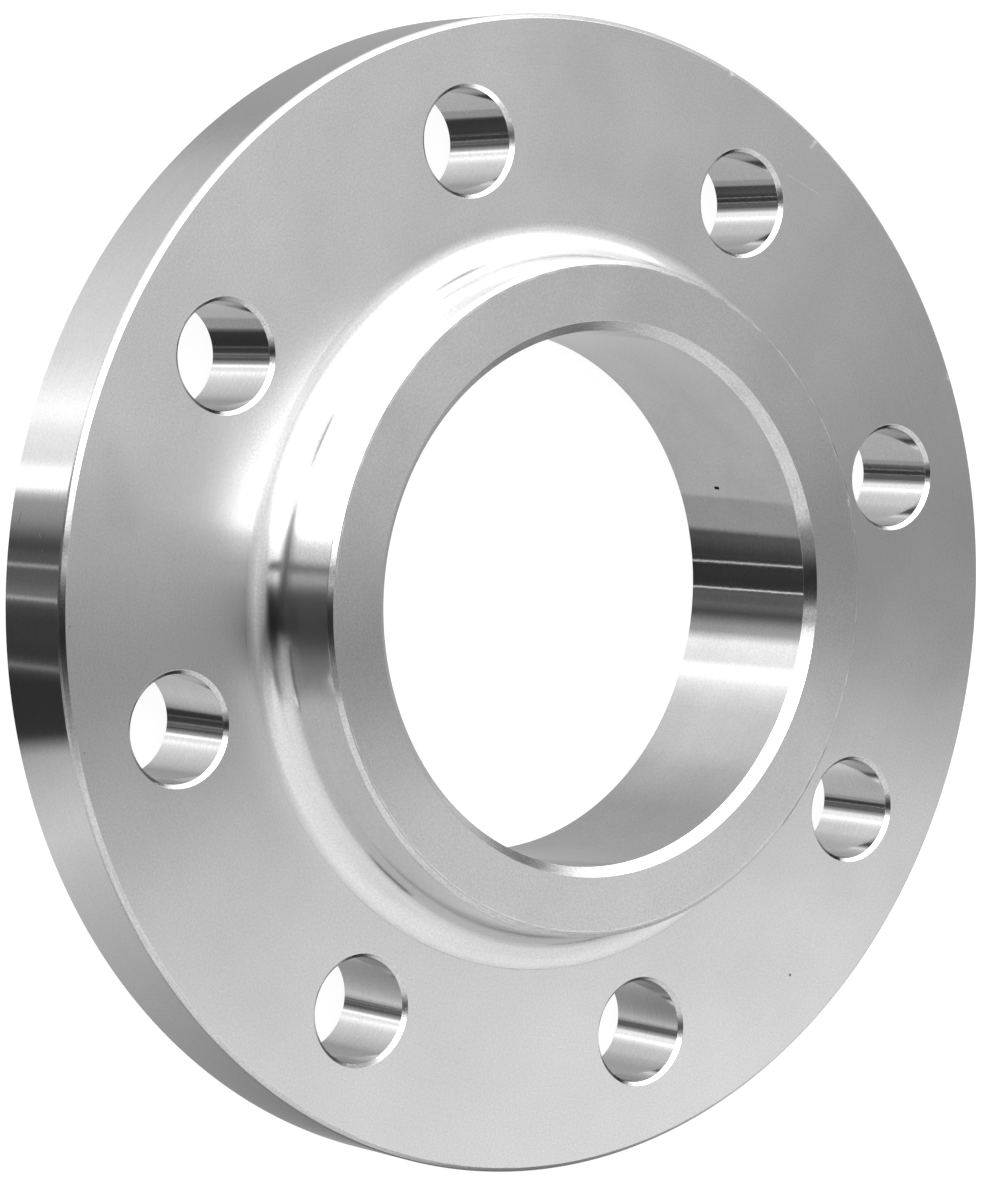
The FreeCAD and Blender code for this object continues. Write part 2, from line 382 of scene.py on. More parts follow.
grids = [inner_grid, rim_grid, *sectors]
points = np.concatenate([grid[0].reshape(-1, 3) for grid in grids])
normals = np.concatenate([grid[1].reshape(-1, 3) for grid in grids])
firsts = np.cumsum([0] + [grid[0][..., 0].size for grid in grids])
faces = np.concatenate([ring_faces(*grid[0].shape[:2], first) for grid, first in zip(grids, firsts)])
finish_index = np.concatenate([
    np.repeat([FINISHES.index(finish) for finish in grid[2]], grid[0].shape[1]) for grid in grids])
rounded = np.round(points / WELD).astype(np.int64)
_, keep, number = np.unique(rounded, axis=0, return_index=True, return_inverse=True)
faces = number.reshape(-1)[faces]
points, normals = points[keep], normals[keep]
print(len(points), "points and", len(faces), "faces after joining")

# %% [markdown]
# ## Marks of use
#
# A flange that has been handled is not quite perfect. The tool left a fine line where the hub's root runs out into
# the plate, a ragged burr was dressed off the hub's end, and a few knocks have dented its edges. Each mark is a
# small hollow pressed into the skin. Its depth is a smooth function of the place, so the normals follow exactly: a
# hollow of depth g turns the normal n towards the gradient of g.

# %% Hollows and lines
MICRON = 0.001 * MM
RAGGED_WAVES = [(23, 1), (61, 2), (97, 0)]


def dents(places, centres, depths, reaches):
    """Depth g = sum of depth exp(-|p - centre|^2 / reach^2), and its gradient -2 g (p - centre) / reach^2."""
    apart = places[:, None] - centres
    each = depths * np.exp(-(apart ** 2).sum(axis=2) / reaches ** 2)
    return each.sum(axis=1), (-2 * (each / reaches ** 2)[..., None] * apart).sum(axis=1)


def turned_line(places, radius, height, depth, reach, ragged):
    """Depth g = depth (1 + ragged w) exp(-((r - radius) / reach)^2) on the flat at a height, and its gradient.

    w is half the sum of three waves round the axis, and g is nothing where they bring it below zero.
    """
    distance = np.hypot(places[:, 0], places[:, 1])
    angle = np.arctan2(places[:, 1], places[:, 0])
    wave = sum(np.sin(count * angle + shift) for count, shift in RAGGED_WAVES) / 2
    lying = np.abs(places[:, 2] - height) < MICRON
    deep = lying * depth * np.maximum(1 + ragged * wave, 0)
    g = deep * np.exp(-((distance - radius) / reach) ** 2)
    slope = -2 * (distance - radius) / reach ** 2 * g
    return g, slope[:, None] * np.stack([np.cos(angle), np.sin(angle), np.zeros_like(angle)], axis=1)


def on_edge(radius, degrees, height):
    """A place from its distance to the axis in millimetres, its angle round it and its height."""
    angle = math.radians(degrees)
    return (radius * MM * math.cos(angle), radius * MM * math.sin(angle), height)


# %% [markdown]
# A knock is written as its place and, in millimetres, its depth and its reach.

# %% Press them in
KNOCKS = [
    (on_edge(57.3, 114.3, HUB_TOP), 0.22, 0.45),
    (on_edge(99.4, 120.9, PLATE_FRONT), 0.25, 0.5),
    (on_edge(99.3, 152.5, PLATE_FRONT), 0.1, 0.4),
    (on_edge(99.4, 165.7, PLATE_FRONT), 0.15, 0.5),
]
LINE_GAP = 0.2 * MM
knock_places, knock_depths, knock_reaches = (np.array(column) for column in zip(*KNOCKS))
hollows = [
    dents(points, knock_places, knock_depths * MM, knock_reaches * MM),
    turned_line(points, radius=SEAT_INNER + LINE_GAP, height=PLATE_FRONT,
                depth=0.008 * MM, reach=0.15 * MM, ragged=0.5),
    turned_line(points, radius=HUB_END_RADIUS - HUB_CHAMFER - LINE_GAP, height=HUB_TOP,
                depth=0.02 * MM, reach=0.13 * MM, ragged=0.9),
]
depth = sum(hollow[0] for hollow in hollows)[:, None]
gradient = sum(hollow[1] for hollow in hollows)
points = points - depth * normals
normals = normals + gradient - (gradient * normals).sum(axis=1, keepdims=True) * normals
normals /= np.linalg.norm(normals, axis=1, keepdims=True)
print(f"deepest mark {depth.max() / MM:.2f} mm, {(depth > MICRON).sum()} points moved")

# %% Put the skin into a mesh
skin = bpy.data.meshes.new("flange_skin")
skin.from_pydata(points.tolist(), [], faces.tolist())
skin.polygons.foreach_set("use_smooth", np.ones(len(faces), bool))
skin.polygons.foreach_set("material_index", finish_index.astype(np.int32))
skin.normals_split_custom_set_from_vertices(normals.tolist())
skin.update()
flange = bpy.data.objects.new("flange", skin)
bpy.context.scene.collection.objects.link(flange)
print(len(skin.polygons), "polygons")

# %% [markdown]
# ## Steel
#
# Bright stainless steel is a plain grey metal. What tells one surface from another is the tool that made it. A
# lathe leaves grooves finer than the eye can part, all running round the axis, and they blur a reflection across
# themselves and leave it sharp along themselves. The shader does this with anisotropy: a tangent that runs round
# the axis, turned by a quarter so that the blur goes across the grooves. The few grooves that can be seen are a
# noise that is squeezed along the section and stretched round the axis.

# %% Helpers for node trees
def add_node(tree, kind, inputs=None, **settings):
    """A new node with its settings, and with values or links for its inputs by name or number."""
    node = tree.nodes.new(kind)
    for name, value in settings.items():
        setattr(node, name, value)
    for key, value in (inputs or {}).items():
        if isinstance(value, bpy.types.NodeSocket):
            tree.links.new(value, node.inputs[key])
        else:
            node.inputs[key].default_value = value
    return node


def maths(tree, operation, *values):
    """The result of a Math node on values or sockets."""
    return add_node(tree, "ShaderNodeMath", dict(enumerate(values)), operation=operation).outputs[0]


def remap(tree, value, low, high, to_low, to_high, smooth=False):
    """A value carried from one range to another, and held at its ends."""
    kind = "SMOOTHSTEP" if smooth else "LINEAR"
    inputs = {"Value": value, "From Min": low, "From Max": high, "To Min": to_low, "To Max": to_high}
    return add_node(tree, "ShaderNodeMapRange", inputs, interpolation_type=kind).outputs["Result"]


# %% Turning marks
def turning_marks(tree, place, fineness, around):
    """Noise whose level lines are circles about Z: fast along radius and height, slow round the axis.

    The axis direction is (x / r, y / r) times around, and radius and height times fineness fill the other two of
    the noise's four dimensions.
    """
    parts = add_node(tree, "ShaderNodeSeparateXYZ", {0: place})
    flat = add_node(tree, "ShaderNodeCombineXYZ", {0: parts.outputs["X"], 1: parts.outputs["Y"]}).outputs[0]
    reach = add_node(tree, "ShaderNodeVectorMath", {0: flat}, operation="LENGTH").outputs["Value"]
    way = add_node(tree, "ShaderNodeVectorMath", {0: flat}, operation="NORMALIZE").outputs[0]
    way = add_node(tree, "ShaderNodeVectorMath", {0: way, 3: around}, operation="SCALE").outputs[0]
    lift = add_node(tree, "ShaderNodeCombineXYZ", {2: maths(tree, "MULTIPLY", reach, fineness)}).outputs[0]
    vector = add_node(tree, "ShaderNodeVectorMath", {0: way, 1: lift}, operation="ADD").outputs[0]
    inputs = {
        "Vector": vector, "W": maths(tree, "MULTIPLY", parts.outputs["Z"], fineness),
        "Scale": 1.0, "Detail": 3.0, "Roughness": 0.6,
    }
    return add_node(tree, "ShaderNodeTexNoise", inputs, noise_dimensions="4D").outputs["Fac"]


# %% [markdown]
# A drill turns about its own axis, so the marks in and around a bolt hole are circles about that hole. Folding the
# angle round the flange into one sector brings every hole to the same place, and one pattern then serves them all.

# %% The place as the nearest hole sees it
def beside_hole(tree, place):
    """The place with the nearest bolt hole's axis as its own: the angle folded into a sector, then moved over."""
    parts = add_node(tree, "ShaderNodeSeparateXYZ", {0: place})
    angle = maths(tree, "ARCTAN2", parts.outputs["Y"], parts.outputs["X"])
    sector = 2 * math.pi / HOLE_COUNT
    turns = maths(tree, "ROUND", maths(tree, "DIVIDE", maths(tree, "ADD", angle, sector / 2), sector))
    fold = maths(tree, "MULTIPLY", maths(tree, "SUBTRACT", turns, 0.5), -sector)
    turned = add_node(tree, "ShaderNodeVectorRotate", {"Vector": place, "Angle": fold}, rotation_type="Z_AXIS")
    return add_node(tree, "ShaderNodeVectorMath", {
        0: turned.outputs[0], 1: (BOLT_CIRCLE_RADIUS, 0, 0)}, operation="SUBTRACT").outputs[0]


# %% [markdown]
# Dust and smudges, and the painted glints of scratches that catch the light, are marks of one kind: everything
# within some distance of a short line is darker, or lighter for a painted glint. A speck is such a line with no
# length.

# %% Stains along a line
def stained(tree, place, start, end, inner, outer):
    """1 within inner of the line from start to end, falling smoothly to 0 at outer.

    The nearest point of the line is start + h (end - start), where h is (p - start).(end - start) / length^2 held
    between 0 and 1.
    """
    run = Vector(end) - Vector(start)
    apart = add_node(tree, "ShaderNodeVectorMath", {0: place, 1: start}, operation="SUBTRACT").outputs[0]
    along = add_node(tree, "ShaderNodeVectorMath", {0: apart, 1: run}, operation="DOT_PRODUCT").outputs["Value"]
    share = remap(tree, along, 0, max(run.length_squared, 1e-12), 0, 1)
    foot = add_node(tree, "ShaderNodeVectorMath", {0: tuple(run), 3: share}, operation="SCALE").outputs[0]
    gap = add_node(tree, "ShaderNodeVectorMath", {0: apart, 1: foot}, operation="DISTANCE").outputs["Value"]
    return remap(tree, gap, inner * MM, outer * MM, 1, 0, smooth=True)


# %% A steel finish
STEEL = 0.63
MARKS_PER_METRE = 2600.0
CLOUDS_PER_METRE = 45.0
GRAIN_PER_METRE = 2800.0
MARKS_SPAN = (0.25, 0.75)
CLOUD_SPAN = (0.3, 0.7)
CLOUD_SOFTNESS = 0.03


def varied(tree, noise, span, share, middle=1.0):
    """A value that follows a noise over its span, from middle (1 - share) to middle (1 + share)."""
    return remap(tree, noise, *span, middle * (1 - share), middle * (1 + share))


def cloudy(tree, place, per_metre, detail):
    """A plain noise with so many clouds to the metre."""
    inputs = {"Vector": place, "Scale": per_metre, "Detail": detail}
    return add_node(tree, "ShaderNodeTexNoise", inputs).outputs["Fac"]


def steel(name, across, along, marks_depth, marks_around, streaks, grain, clouds=0.03, marks_width=0.4, tone=1.0,
          about_hole=False, stains=()):
    """A finish of the same steel, blurred by one amount across the tool's grooves and another along them.

    The shader takes the two as one roughness r and one anisotropy a: r^2 = sqrt(across along), and
    1 - 0.9 a = along / across. The visible turning marks are marks_depth high and marks_width wide, in
    millimetres, and change with marks_around round the axis. streaks, clouds and grain are the shares by which
    fine marks, broad clouds and a fine grain change the brightness, tone changes all of it, and the stains darken
    their places while the painted glints among them lighten theirs.
    """
    material = bpy.data.materials.new(name)
    material.use_nodes = True
    tree = material.node_tree
    shader = tree.nodes["Principled BSDF"]
    place = add_node(tree, "ShaderNodeTexCoord").outputs["Object"]
    axis_place = beside_hole(tree, place) if about_hole else place
    marks = turning_marks(tree, axis_place, MARKS_PER_METRE, marks_around)
    waves = turning_marks(tree, axis_place, 1 / (marks_width * MM), marks_around)
    cloud = cloudy(tree, place, CLOUDS_PER_METRE, 5.0)
    fine = cloudy(tree, place, GRAIN_PER_METRE, 2.0)
    bright = maths(tree, "MULTIPLY", varied(tree, marks, MARKS_SPAN, streaks, STEEL * tone),
                   varied(tree, cloud, CLOUD_SPAN, clouds))
    bright = maths(tree, "MULTIPLY", bright, varied(tree, fine, CLOUD_SPAN, 2 * grain))
    # A share below zero makes a mark lighter: a painted glint.
    for start, end, inner, outer, darker in stains:
        mask = stained(tree, place, start, end, inner, outer)
        bright = maths(tree, "MULTIPLY", bright, remap(tree, mask, 0, 1, 1, 1 - darker))
    soft = maths(tree, "MULTIPLY", (across * along) ** 0.25, varied(tree, cloud, CLOUD_SPAN, CLOUD_SOFTNESS))
    bump = add_node(tree, "ShaderNodeBump", {"Strength": 1.0, "Distance": marks_depth * MM, "Height": waves})
    colour = add_node(tree, "ShaderNodeCombineColor", {0: bright, 1: bright, 2: bright}).outputs[0]
    tree.links.new(colour, shader.inputs["Base Color"])
    tree.links.new(soft, shader.inputs["Roughness"])
    tree.links.new(bump.outputs["Normal"], shader.inputs["Normal"])
    shader.inputs["Metallic"].default_value = 1.0
    shader.inputs["Anisotropic"].default_value = (1 - along / across) / 0.9
    if across > along:
        tangent = add_node(tree, "ShaderNodeTangent", direction_type="RADIAL", axis="Z")
        tree.links.new(tangent.outputs["Tangent"], shader.inputs["Tangent"])
        shader.inputs["Anisotropic Rotation"].default_value = 0.25
    print("steel finish", name)
    return material


# %% [markdown]
# Every stain and painted glint is placed where the photographed flange has one. It is written as the line's two
# ends, the distances in millimetres at which it starts to fade and is gone, and the share by which it darkens. A
# scratch that catches the light has a share below zero: its brighter colour is a painted glint.

# %% Place the stains and painted glints
def in_mm(x, y, z):
    """A place given in millimetres."""
    return (x * MM, y * MM, z * MM)


SPECK = in_mm(61.74, 63.91, 20)
TINY_SPECKS = [in_mm(16.42, -96.98, 20), in_mm(36.16, -91.3, 20)]
plate_stains_and_glints = [
    (SPECK, SPECK, 0.12, 0.35, 0.85),
    (in_mm(-11.0, -93.5, 20), in_mm(-2.0, -89.5, 20), 0.5, 4.5, 0.05),
    # The next two marks are lighter: painted glints where scratches catch the light.
    (in_mm(-80.8, 40.2, 20), in_mm(-78.6, 48.3, 20), 0.02, 0.2, -0.12),
    (in_mm(-86.6, 45.1, 20), in_mm(-87.6, 45.9, 20), 0.15, 0.5, -0.28),
    *[(place, place, 0.05, 0.22, 0.5) for place in TINY_SPECKS],
]
rim_stains_and_glints = [
    (in_mm(0.7, -100, 5.3), in_mm(-1.0, -100, 5.7), 0.03, 0.16, 0.4),
    # The next two marks are lighter: painted glints on the rim.
    (in_mm(2.1, -99.98, 11.9), in_mm(2.8, -99.96, 12.6), 0.04, 0.16, -0.5),
    (in_mm(4.8, -99.88, 13.4), in_mm(4.8, -99.88, 13.6), 0.05, 0.18, -0.6),
]
bore_stains = [(in_mm(-23.76, 39.10, 12.1), in_mm(-23.76, 39.10, 12.9), 0.22, 0.36, 1.0)]
print(len(plate_stains_and_glints) + len(rim_stains_and_glints) + len(bore_stains), "stains")

# %% [markdown]
# A facing cut blurs more than a turned wall, because its feed is coarser. The root and the hub's wall were turned
# with a round-nosed tool and are almost mirrors. The small chamfers were broken by hand, so they are the roughest.

# %% Give each stretch its finish
FACED = {"across": 0.12, "along": 0.012, "marks_around": 3.0}
WALL = {"across": 0.015, "along": 0.002, "marks_width": 0.8}
finishes = {
    "plate": steel("faced_plate", **FACED, marks_depth=0.0004, streaks=0.012, grain=0.03, clouds=0.04,
                   stains=plate_stains_and_glints),
    "back": steel("faced_back", **FACED, marks_depth=0.0004, streaks=0.012, grain=0.03),
    "rim": steel("turned_rim", **WALL, marks_depth=0.005, marks_around=14.0, streaks=0.035, grain=0.03,
                 stains=rim_stains_and_glints),
    "root": steel("turned_root", across=0.04, along=0.006, marks_depth=0.004, marks_around=10.0, streaks=0.02,
                  grain=0.03, marks_width=0.6),
    "hub": steel("turned_hub", across=0.02, along=0.004, marks_depth=0.003, marks_around=10.0, streaks=0.04,
                 grain=0.035, marks_width=0.6),
    "hub_end": steel("faced_hub_end", **FACED, marks_depth=0.0004, streaks=0.012, grain=0.035, clouds=0.05,
                     tone=0.93),
    "bore": steel("bored_wall", **WALL, marks_depth=0.006, marks_around=12.0, streaks=0.03, grain=0.035,
                  clouds=0.08, stains=bore_stains),
    "edge": steel("deburred_edge", across=0.05, along=0.015, marks_depth=0.009, marks_around=18.0, streaks=0.13,
                  grain=0.06, clouds=0.06, tone=0.88),
    "hole": steel("drilled_wall", across=0.012, along=0.012, marks_depth=0.0008, marks_around=1.5, streaks=0.045,
                  grain=0.03, about_hole=True),
    "sealing": steel("grooved_face", **FACED, marks_depth=0.0006, streaks=0.02, grain=0.03),
}
for name in FINISHES:
    skin.materials.append(finishes[name])

# %% [markdown]
# ## The studio
#
# Polished metal shows the room, so the room is most of the picture. The flange stands in a light tent: a bright
# side panel, grey walls, and a dark gap where the camera looks in. The tent is the world's own colour, so it needs
# no lamps and lights the flange from all sides.
#
# Each surface of the flange mirrors its own height of the room. The walls are therefore painted in rows, one for
# each such height, and blended in between. A row is a list of turns in degrees from the camera's side, each with
# the brightness there, where 1 is a white sheet.
#
# The rows of the walls and the ceiling are not a free design. Their numbers go back to readings of the photograph:
# the tone at a place of the flange, carried to the direction that the place mirrors, then rounded and changed.

# %% The rows of the walls
RIM_VIEW = [
    (-178, 0.60), (-163, 0.45), (-104, 0.46), (-88, 0.70), (-61, 0.91), (-43, 1.10), (-36, 1.35), (-30.5, 1.6),
    (-26, 1.25), (-20, 1.14), (-16.5, 2.0), (-14.5, 2.0), (-13, 0.80), (-11.5, 0.46), (-7.5, 0.38), (-4, 0.16),
    (-2, 0.07), (0.5, 0.13), (4, 0.14), (6, 0.15), (9, 0.24), (10.4, 0.09), (14, 0.06), (18, 0.06), (21, 0.05),
    (24, 0.09), (26, 0.04), (35, 0.04), (56, 0.05), (75, 0.45), (110, 0.6), (160, 0.5),
]
BORE_VIEW = [
    (-180, 0.48), (-98, 0.50), (-75, 0.63), (-66, 0.78), (-45, 0.84), (-37, 1.05), (-32, 1.35), (-28, 1.95),
    (-25.5, 1.9), (-22.8, 1.27), (-14, 1.40), (-11.5, 0.9), (-10, 0.55), (-7, 0.46), (-3, 0.15), (-1.5, 0.10),
    (1.5, 0.18), (5, 0.14), (7.5, 0.16), (9.4, 0.05), (12, 0.04), (16, 0.05), (21, 0.03), (25, 0.05), (31, 0.10),
    (57, 0.03), (75, 0.45), (150, 0.60),
]
NEAR_GROUND = [
    (-180, 0.40), (-150, 0.7), (-125, 1.8), (-22, 1.8), (-12, 0.7), (-2, 0.2), (15, 0.04), (20, 0.3), (30, 0.65),
    (45, 0.72), (90, 0.8), (130, 0.8), (170, 0.40),
]
DARK_STRIP = [
    (-180, 0.45), (-150, 0.7), (-130, 1.1), (-20, 1.1), (-5, 0.2), (15, 0.04), (20, 0.3), (45, 0.8), (90, 0.8),
    (170, 0.45),
]
HORIZON = [
    (-180, 0.5), (-140, 0.9), (-110, 1.5), (-22, 1.5), (-14, 0.6), (-5, 0.2), (8, 0.1), (15, 0.04), (20, 0.35),
    (45, 0.85), (90, 0.9), (125, 0.75), (170, 0.6),
]
SKYLINE = [
    (-180, 0.45), (-150, 0.8), (-142, 0.95), (-137, 2.0), (-105, 2.0), (-60, 1.6), (-20, 1.55), (-15, 0.45),
    (-9, 0.22), (1, 0.14), (6, 0.05), (15, 0.02), (20, 0.45), (26, 0.55), (30, 0.85), (60, 0.95), (110, 0.9),
    (130, 0.75), (170, 0.6),
]
LOW_SKY = [
    (-180, 0.6), (-145, 0.95), (-138, 2.8), (-100, 4.0), (-28, 4.0), (-24, 1.7), (-19, 1.3), (-14, 0.8), (-5, 0.4),
    (0, 0.24), (5, 0.07), (15, 0.02), (20, 0.5), (26, 0.6), (31, 0.85), (36, 1.02), (100, 1.05), (135, 1.05),
    (170, 0.8),
]
FRONT_WALL = [
    (-180, 0.9), (-138, 1.1), (-118, 3.5), (-90, 8.0), (-14, 8.0), (-11.5, 3.5), (-8, 2.0), (-3.6, 1.5),
    (-3.0, 0.05), (-1.5, 0.05), (-0.8, 1.1), (1.4, 1.2), (3.5, 0.4), (5, 0.15), (8, 0.04), (15, 0.01), (20, 0.06),
    (25, 0.4), (33, 0.62), (37, 1.15), (60, 1.1), (100, 1.0), (170, 1.0),
]
OVER_CAMERA = [
    (-180, 0.9), (-138, 1.1), (-118, 3.5), (-90, 9.0), (-16, 9.0), (-12.4, 2.6), (-10, 2.2), (-8.2, 1.6),
    (-4.2, 1.3), (-3.5, 0.9), (-2.9, 0.03), (-1.5, 0.03), (-0.6, 0.8), (0.8, 1.0), (1.8, 0.8), (3.4, 0.36),
    (4.6, 0.10), (8, 0.02), (15, 0.01), (19, 0.02), (22, 0.07), (25, 0.15), (28.5, 0.26), (30.4, 0.14), (35, 0.2),
    (37.2, 0.55), (39, 0.8), (43, 0.93), (90, 0.87), (120, 0.95), (150, 1.0), (170, 1.0),
]
WALL_ROWS = [
    (-54, RIM_VIEW), (-51, BORE_VIEW), (-48, BORE_VIEW), (-42, NEAR_GROUND), (-35, DARK_STRIP), (-27, DARK_STRIP),
    (-20, HORIZON), (-4, HORIZON), (3, SKYLINE), (14, LOW_SKY), (32, FRONT_WALL), (43, OVER_CAMERA),
]
print(len(WALL_ROWS), "rows on the walls")

# %% [markdown]
# Where two cloths of the tent meet, a thin line of light comes through, and the rim and the bore show it. A slit is
# its turn and its half width in degrees, and its brightness. It can't be part of a row, because a row's ramp is
# stored in steps of more than a degree and would smear it.

# %% The slits between the cloths
RIM_SLITS = [(2.4, 0.6, 0.4), (9.3, 0.5, 0.55), (23.6, 0.5, 0.42)]
RIM_HEIGHTS = (-54, -51)
BORE_SLITS = [(8.9, 0.35, 1.8), (20.3, 0.35, 1.8)]
BORE_HEIGHTS = (-48, -44)

# %% [markdown]
# Overhead, turns crowd together to a point, so the ceiling is painted in rows from side to side instead. They run
# from -100 at the left of the camera to 100 at its right, and each has its depth, from -1 at the back to 1 above
# the camera.

# %% The rows of the ceiling
OVER_FRONT = [
    (-100, 6.0), (-30, 3.6), (-20, 2.2), (-14, 1.45), (-8, 1.05), (-2, 0.75), (5, 0.55), (12, 0.38), (16, 0.22),
    (20, 0.18), (24, 0.35), (29, 0.6), (35, 1.2), (60, 1.1),
]
OVERHEAD = [
    (-100, 3.0), (-60, 2.1), (-45, 1.3), (-33, 1.15), (-13, 1.2), (-6, 1.1), (1, 0.85), (8, 0.6), (15, 0.45),
    (18, 0.55), (22, 1.05), (28, 1.15), (60, 1.15), (91, 0.95),
]
OVER_BACK = [
    (-100, 3.0), (-60, 2.4), (-50, 1.5), (-44, 1.15), (-38, 1.15), (-20, 1.1), (-10, 0.95), (0, 0.8), (4, 0.35),
    (9, 0.25), (13, 0.5), (18, 1.0), (24, 1.3), (33, 1.2), (46, 1.17), (88, 1.15),
]
BACK_HIGH = [
    (-100, 2.2), (-76, 2.2), (-66, 1.35), (-46, 1.05), (-24, 0.75), (-17, 0.44), (-10, 0.34), (1, 0.33), (4, 0.6),
    (8, 1.25), (18, 1.6), (27, 1.25), (46, 1.08), (78, 1.0),
]
BACK_LOW = [
    (-100, 1.2), (-50, 0.95), (-20, 0.75), (-10, 0.5), (-3, 0.38), (2, 0.38), (7, 1.0), (20, 1.25), (40, 1.1),
    (100, 0.9),
]
CEILING_ROWS = [
    (-0.85, BACK_LOW), (-0.62, BACK_HIGH), (-0.38, OVER_BACK), (-0.10, OVERHEAD), (0.35, OVER_FRONT),
]
CEILING_HEIGHTS = (14, 32)
CEILING_DEPTHS = (0.6, 0.4)
print(len(CEILING_ROWS), "rows on the ceiling")

# %% Rows and slits as nodes
PEAK = 9.0


def tent_ramp(tree, place, stops, reach):
    """Brightness over PEAK along a row of the tent, as a ramp with stops from -reach to reach."""
    ramp = add_node(tree, "ShaderNodeValToRGB", {"Fac": place})
    elements = ramp.color_ramp.elements
    while len(elements) < len(stops):
        elements.new(0.5)
    for element, (stop, brightness) in zip(elements, stops):
        element.position = (stop + reach) / (2 * reach)
        element.color = (*[brightness / PEAK] * 3, 1)
    return ramp.outputs["Color"]


def tent_rows(tree, place, between, rows, reach):
    """Rows of the tent, each painted by its ramp and blended in between by height or depth."""
    painted = tent_ramp(tree, place, rows[0][1], reach)
    for (near, _), (far, stops) in zip(rows, rows[1:]):
        mix = add_node(tree, "ShaderNodeMix", {"Factor": remap(tree, between, near, far, 0, 1)}, data_type="RGBA")
        tree.links.new(painted, mix.inputs["A"])
        tree.links.new(tent_ramp(tree, place, stops, reach), mix.inputs["B"])
        painted = mix.outputs["Result"]
    return painted


def slits(tree, turn, places):
    """The sum of b max(0, 1 - |turn - place| / w) / PEAK over slits of half width w and brightness b."""
    total = 0.0
    for place, width, brightness in places:
        apart = maths(tree, "ABSOLUTE", maths(tree, "SUBTRACT", turn, place))
        total = maths(tree, "ADD", total, remap(tree, apart, 0, width, brightness / PEAK, 0))
    return total


# %% [markdown]
# The camera sees a plain white backdrop instead of the tent, also through the bore and the holes. Reflections still
# see the tent, because steel without its dark and bright panels looks like grey paint.

# %% Paint the tent
world = bpy.data.worlds.new("light_tent")
world.use_nodes = True
bpy.context.scene.world = world
tree = world.node_tree
gaze = add_node(tree, "ShaderNodeTexCoord").outputs["Generated"]
facing_camera = add_node(tree, "ShaderNodeVectorRotate", {
    "Vector": gaze, "Angle": -CAMERA_AZIMUTH}, rotation_type="Z_AXIS").outputs[0]
direction = add_node(tree, "ShaderNodeSeparateXYZ", {0: facing_camera})
turn = maths(tree, "ARCTAN2", direction.outputs["Y"], direction.outputs["X"])
degrees = maths(tree, "DEGREES", turn)
turn = maths(tree, "ADD", maths(tree, "DIVIDE", turn, 2 * math.pi), 0.5)
elevation = maths(tree, "DEGREES", maths(tree, "ARCSINE", direction.outputs["Z"]))
across = remap(tree, direction.outputs["Y"], -1, 1, 0, 1)
walls = tent_rows(tree, turn, elevation, WALL_ROWS, 180)
low = remap(tree, elevation, *RIM_HEIGHTS, 1, 0)
middle = maths(tree, "SUBTRACT", remap(tree, elevation, *BORE_HEIGHTS, 1, 0), low)
light_lines = maths(tree, "ADD", maths(tree, "MULTIPLY", slits(tree, degrees, RIM_SLITS), low),
                    maths(tree, "MULTIPLY", slits(tree, degrees, BORE_SLITS), middle))
walls = add_node(tree, "ShaderNodeVectorMath", {0: walls, 1: light_lines}, operation="ADD").outputs[0]
ceiling = tent_rows(tree, across, direction.outputs["X"], CEILING_ROWS, 100)
high = remap(tree, elevation, *CEILING_HEIGHTS, 0, 1)
over = remap(tree, direction.outputs["X"], *CEILING_DEPTHS, 0, 1)
tent = add_node(tree, "ShaderNodeMix", {"Factor": maths(tree, "MINIMUM", high, over)}, data_type="RGBA")
tree.links.new(walls, tent.inputs["A"])
tree.links.new(ceiling, tent.inputs["B"])
tent = tent.outputs["Result"]
tent_light = add_node(tree, "ShaderNodeBackground", {"Color": tent, "Strength": PEAK})
backdrop = add_node(tree, "ShaderNodeBackground", {"Color": (1, 1, 1, 1), "Strength": 1.0})
path = add_node(tree, "ShaderNodeLightPath")
seen = maths(tree, "MAXIMUM", path.outputs["Is Camera Ray"], path.outputs["Is Transmission Ray"])
either = add_node(tree, "ShaderNodeMixShader", {0: seen, 1: tent_light.outputs[0], 2: backdrop.outputs[0]})
tree.links.new(either.outputs[0], tree.nodes["World Output"].inputs["Surface"])
print("tent painted")

# %% [markdown]
# The floor is a plain white sheet. The camera sees it lit up to white, with the flange's soft shadow left on it.

# %% Lay the floor
FLOOR_HALF = 3.0
FLOOR_DROP = 0.02 * MM
SHEET_GLOW = 0.92
SHEET_GREY = 0.14
floor_mesh = bpy.data.meshes.new("floor")
floor_mesh.from_pydata(
    [(x * FLOOR_HALF, y * FLOOR_HALF, -FLOOR_DROP) for x, y in ((-1, -1), (1, -1), (1, 1), (-1, 1))],
    [], [(0, 1, 2, 3)])
floor = bpy.data.objects.new("floor", floor_mesh)
bpy.context.scene.collection.objects.link(floor)
sheet = bpy.data.materials.new("white_sheet")
sheet.use_nodes = True
tree = sheet.node_tree
paper = add_node(tree, "ShaderNodeBsdfDiffuse", {"Color": (SHEET_GREY, SHEET_GREY, SHEET_GREY, 1)})
seen = add_node(tree, "ShaderNodeLightPath").outputs["Is Camera Ray"]
glow = add_node(tree, "ShaderNodeEmission", {
    "Color": (1, 1, 1, 1), "Strength": maths(tree, "MULTIPLY", seen, SHEET_GLOW)})
both = add_node(tree, "ShaderNodeAddShader", {0: paper.outputs[0], 1: glow.outputs[0]})
tree.links.new(both.outputs[0], tree.nodes["Material Output"].inputs["Surface"])
floor_mesh.materials.append(sheet)
floor.visible_glossy = False
print("floor laid")
